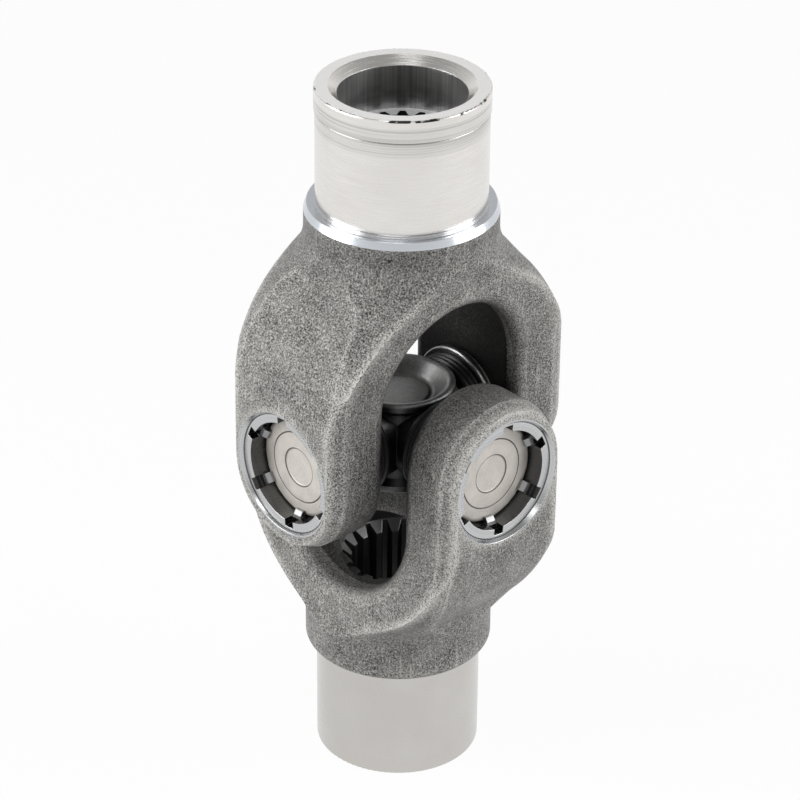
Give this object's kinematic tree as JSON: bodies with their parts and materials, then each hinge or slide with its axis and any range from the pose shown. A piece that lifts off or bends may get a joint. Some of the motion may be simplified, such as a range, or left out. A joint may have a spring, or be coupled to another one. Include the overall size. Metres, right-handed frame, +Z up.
{
  "type": "staked universal joint with two forged yokes",
  "caption": "Steel universal joint: forged yokes with splined hubs, joined at right angles by a cross in staked bearing caps.",
  "frame": {"origin": "centre of the cross, halfway between the two hub ends", "axes": "+Z up the common line of the hubs; the lower yoke's ears lie on X and the upper yoke's ears on Y"},
  "size_m": [0.0742, 0.0742, 0.176],
  "materials": {
    "forged_steel": "shot-blasted forging with turned hubs",
    "cross_steel": "dark forged steel with ground trunnions",
    "cap_steel": "satin ground steel",
    "washer_plastic": "plain",
    "seal_rubber": "black"
  },
  "bodies": {
    "lower": {"lower_yoke": "forged_steel", "bearing_cap_x_plus": "cap_steel", "needle_rollers_x_plus": "cap_steel", "thrust_washer_x_plus": "washer_plastic", "seal_x_plus": "seal_rubber", "seal_ring_x_plus": "cap_steel", "bearing_cap_x_minus": "cap_steel", "needle_rollers_x_minus": "cap_steel", "thrust_washer_x_minus": "washer_plastic", "seal_x_minus": "seal_rubber", "seal_ring_x_minus": "cap_steel"},
    "cross": {"cross": "cross_steel"},
    "upper": {"upper_yoke": "forged_steel", "bearing_cap_y_plus": "cap_steel", "needle_rollers_y_plus": "cap_steel", "thrust_washer_y_plus": "washer_plastic", "seal_y_plus": "seal_rubber", "seal_ring_y_plus": "cap_steel", "bearing_cap_y_minus": "cap_steel", "needle_rollers_y_minus": "cap_steel", "thrust_washer_y_minus": "washer_plastic", "seal_y_minus": "seal_rubber", "seal_ring_y_minus": "cap_steel"}
  },
  "joints": [
    {"name": "lower_yoke_hinge", "type": "hinge", "parent": "lower", "child": "cross", "pos_m": [0, 0, 0], "axis": [1, 0, 0], "range_deg": [-34, 34]},
    {"name": "upper_yoke_hinge", "type": "hinge", "parent": "cross", "child": "upper", "pos_m": [0, 0, 0], "axis": [0, 1, 0], "range_deg": [-34, 34]}
  ]
}
